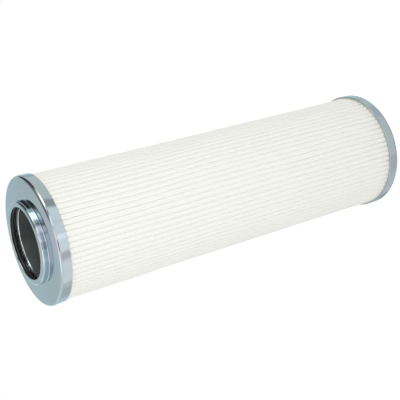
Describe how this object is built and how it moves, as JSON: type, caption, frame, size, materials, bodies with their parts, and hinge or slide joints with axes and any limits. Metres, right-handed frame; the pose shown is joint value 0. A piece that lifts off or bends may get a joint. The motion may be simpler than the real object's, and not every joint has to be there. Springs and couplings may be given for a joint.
{
  "type": "pleated filter element",
  "caption": "Round pleated filter element with zinc-plated steel end caps, one closed and one with a short neck and an internal O-ring.",
  "frame": {"origin": "centre of the closed end cap's outer face, on which the element stands", "axes": "+Z along the element's axis, from the closed cap to the open neck; +X and +Y across it"},
  "size_m": [0.079, 0.079, 0.2582],
  "materials": {
    "zinc_plated_steel": "smooth bluish zinc plating, semi-gloss",
    "tube_steel": "dull grey plated steel",
    "rubber": "brown-black, slightly glossy",
    "glass_fibre_medium": "matt, soft white",
    "mesh": "fine open weave, white",
    "resin": "cast, dull"
  },
  "bodies": {
    "root": {"closed_end_cap": "zinc_plated_steel", "closed_end_resin": "resin", "support_tube": "tube_steel", "filter_medium": "glass_fibre_medium", "support_mesh": "mesh", "open_end_resin": "resin", "open_end_cap": "zinc_plated_steel", "seal_washer": "zinc_plated_steel", "o_ring": "rubber"}
  },
  "joints": []
}
